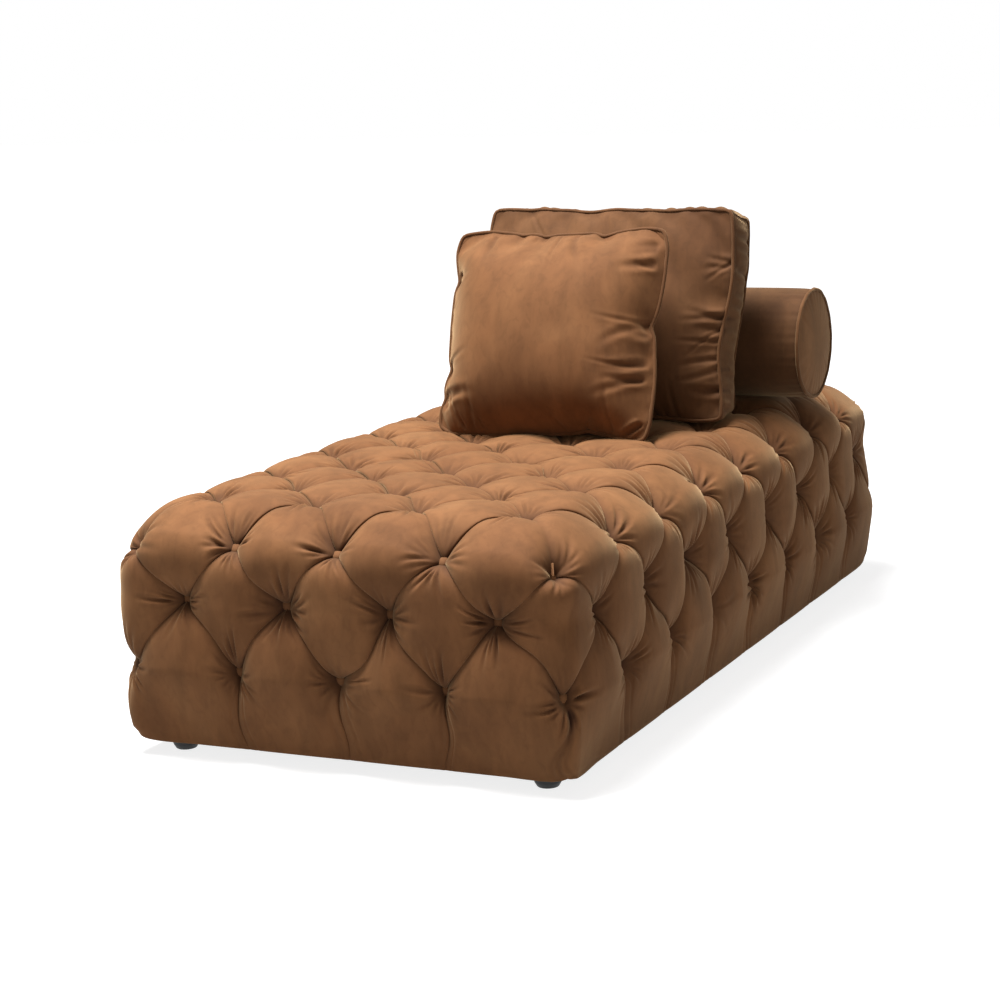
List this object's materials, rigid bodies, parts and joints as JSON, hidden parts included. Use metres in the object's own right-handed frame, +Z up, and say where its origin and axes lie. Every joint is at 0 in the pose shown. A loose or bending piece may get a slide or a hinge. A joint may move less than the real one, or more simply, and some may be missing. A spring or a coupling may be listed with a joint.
{
  "type": "fainting couch",
  "caption": "Long low backless couch, tufted with fabric buttons on its top and all sides, on short round feet, with a piped throw cushion, a box cushion and a bolster at one end.",
  "frame": {"origin": "on the floor, under the middle of the couch", "axes": "+X across the couch to the right of someone at its free end, +Y along it to the end with the cushions, +Z up"},
  "size_m": [0.93, 1.8384, 0.9147],
  "materials": {
    "velvet": "matte",
    "velvet_piping": "matte",
    "foam": "matte",
    "fibre_filling": "matte",
    "timber": "matte",
    "plywood": "matte",
    "lining_cloth": "matte",
    "foot_plastic": "satin",
    "screw_steel": "satin",
    "zip_tape": "matte",
    "zip_metal": "satin"
  },
  "bodies": {
    "couch": {"tufted_top": "velvet", "tufted_front_end": "velvet", "tufted_back_end": "velvet", "tufted_left_side": "velvet", "tufted_right_side": "velvet", "seat_foam": "foam", "deck_board": "plywood", "deck_slat_1": "timber", "deck_slat_2": "timber", "deck_slat_3": "timber", "side_board_left": "plywood", "side_board_right": "plywood", "end_board_front": "plywood", "end_board_back": "plywood", "corner_post_front_left": "timber", "corner_post_front_right": "timber", "corner_post_back_left": "timber", "corner_post_back_right": "timber", "lower_rail_left": "timber", "lower_rail_right": "timber", "lower_rail_front": "timber", "lower_rail_back": "timber", "upper_rail_left": "timber", "upper_rail_right": "timber", "upper_rail_front": "timber", "upper_rail_back": "timber", "dust_cover": "lining_cloth", "foot_front_left": "foot_plastic", "foot_front_right": "foot_plastic", "foot_back_left": "foot_plastic", "foot_back_right": "foot_plastic", "foot_screw_front_left": "screw_steel", "foot_screw_front_right": "screw_steel", "foot_screw_back_left": "screw_steel", "foot_screw_back_right": "screw_steel"},
    "throw_cushion": {"throw_cushion_front_panel": "velvet", "throw_cushion_back_panel": "velvet", "throw_cushion_piping": "velvet_piping", "throw_cushion_filling": "fibre_filling", "throw_cushion_zip_tape": "zip_tape"},
    "throw_cushion_zip": {"throw_cushion_zip_slider": "zip_metal"},
    "box_cushion": {"box_cushion_front_panel": "velvet", "box_cushion_back_panel": "velvet", "box_cushion_band": "velvet", "box_cushion_front_piping": "velvet_piping", "box_cushion_back_piping": "velvet_piping", "box_cushion_filling": "fibre_filling", "box_cushion_zip_tape": "zip_tape"},
    "box_cushion_zip": {"box_cushion_zip_slider": "zip_metal"},
    "bolster": {"bolster_sleeve": "velvet", "bolster_end_left": "velvet", "bolster_end_right": "velvet", "bolster_piping_left": "velvet_piping", "bolster_piping_right": "velvet_piping", "bolster_filling": "fibre_filling", "bolster_zip_tape": "zip_tape"},
    "bolster_zip": {"bolster_zip_slider": "zip_metal"}
  },
  "joints": [
    {"name": "throw_cushion_lift", "type": "slide", "parent": "couch", "child": "throw_cushion", "axis": [0, 0.225, 0.9744], "range_m": [0, 0.45]},
    {"name": "box_cushion_lift", "type": "slide", "parent": "couch", "child": "box_cushion", "axis": [0, 0.225, 0.9744], "range_m": [0, 0.45]},
    {"name": "bolster_lift", "type": "slide", "parent": "couch", "child": "bolster", "axis": [0, 0.225, 0.9744], "range_m": [0, 0.45]},
    {"name": "throw_cushion_zip_slide", "type": "slide", "parent": "throw_cushion", "child": "throw_cushion_zip", "axis": [0.9988, -0.0452, 0.0197], "range_m": [0, 0.26]},
    {"name": "box_cushion_zip_slide", "type": "slide", "parent": "box_cushion", "child": "box_cushion_zip", "axis": [1, 0, 0], "range_m": [0, 0.38]},
    {"name": "bolster_zip_slide", "type": "slide", "parent": "bolster", "child": "bolster_zip", "axis": [1, 0, 0], "range_m": [0, 0.56]}
  ]
}
